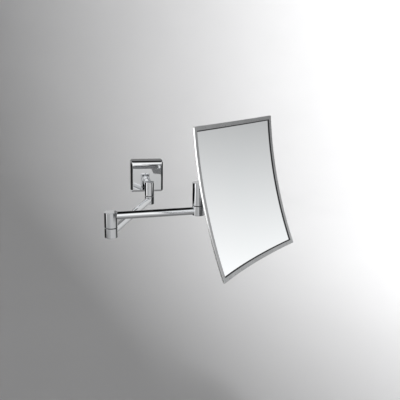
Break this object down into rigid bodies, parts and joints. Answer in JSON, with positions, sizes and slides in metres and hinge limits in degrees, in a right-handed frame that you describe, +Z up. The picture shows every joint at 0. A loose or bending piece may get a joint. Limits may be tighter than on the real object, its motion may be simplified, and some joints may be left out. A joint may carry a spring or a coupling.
{
  "type": "extendable shaving mirror",
  "caption": "Wall-mounted shaving mirror: square dished mirror in a slim chrome frame on two swivelling arms, with a tilt joint behind it and a square wall plate.",
  "frame": {"origin": "centre of the wall plate's back face, on the wall", "axes": "+Y into the wall, -Y out into the room, +Z up, +X to the right as seen from the room"},
  "size_m": [0.2902, 0.3738, 0.1961],
  "materials": {
    "chrome": "polished",
    "mirror_glass": "silvered, polished",
    "steel": "zinc plated",
    "nylon": "matt moulded",
    "satin_chrome": "satin"
  },
  "bodies": {
    "wall_mount": {"wall_bracket": "steel", "wall_cover": "chrome", "cover_set_screw": "steel", "wall_stub": "chrome", "stub_screw": "steel", "stub_stud": "steel", "wall_barrel_upper": "chrome", "wall_barrel_screw": "steel"},
    "arm_1": {"wall_barrel_lower": "chrome", "wall_barrel_friction_washer": "nylon", "wall_barrel_spring_washer": "steel", "wall_barrel_cap": "chrome", "arm_1_tube": "chrome", "elbow_lower": "chrome", "elbow_friction_washer": "nylon", "elbow_spring_washer": "steel", "elbow_cap": "chrome"},
    "arm_2": {"elbow_upper": "chrome", "elbow_screw": "steel", "arm_2_tube": "chrome", "end_swivel_lower": "chrome", "end_swivel_friction_washer": "nylon", "end_swivel_spring_washer": "steel", "end_swivel_cap": "chrome"},
    "mirror_carrier": {"end_swivel_upper": "chrome", "end_swivel_screw": "steel", "mirror_stub": "chrome", "tilt_fork": "chrome", "tilt_screw": "steel", "tilt_nut": "steel", "tilt_washer_left": "nylon", "tilt_washer_right": "nylon"},
    "mirror_head": {"mirror_bracket": "chrome", "mirror_frame": "satin_chrome", "mirror_glass": "mirror_glass", "back_panel": "chrome"}
  },
  "joints": [
    {"name": "wall_swivel", "type": "hinge", "parent": "wall_mount", "child": "arm_1", "pos_m": [0, -0.054, -0.0273], "axis": [0, 0, 1], "range_deg": [-67, 113]},
    {"name": "elbow_swivel", "type": "hinge", "parent": "arm_1", "child": "arm_2", "pos_m": [-0.07658, -0.23442, -0.026], "axis": [0, 0, 1], "range_deg": [-150, 20]},
    {"name": "end_swivel", "type": "hinge", "parent": "arm_2", "child": "mirror_carrier", "pos_m": [0.05392, -0.223, -0.0006], "axis": [0, 0, 1], "range_deg": [-60, 40]},
    {"name": "mirror_tilt", "type": "hinge", "parent": "mirror_carrier", "child": "mirror_head", "pos_m": [0.08345, -0.25467, 0.0225], "axis": [-0.7314, -0.682, 0], "range_deg": [-45, 20]}
  ]
}
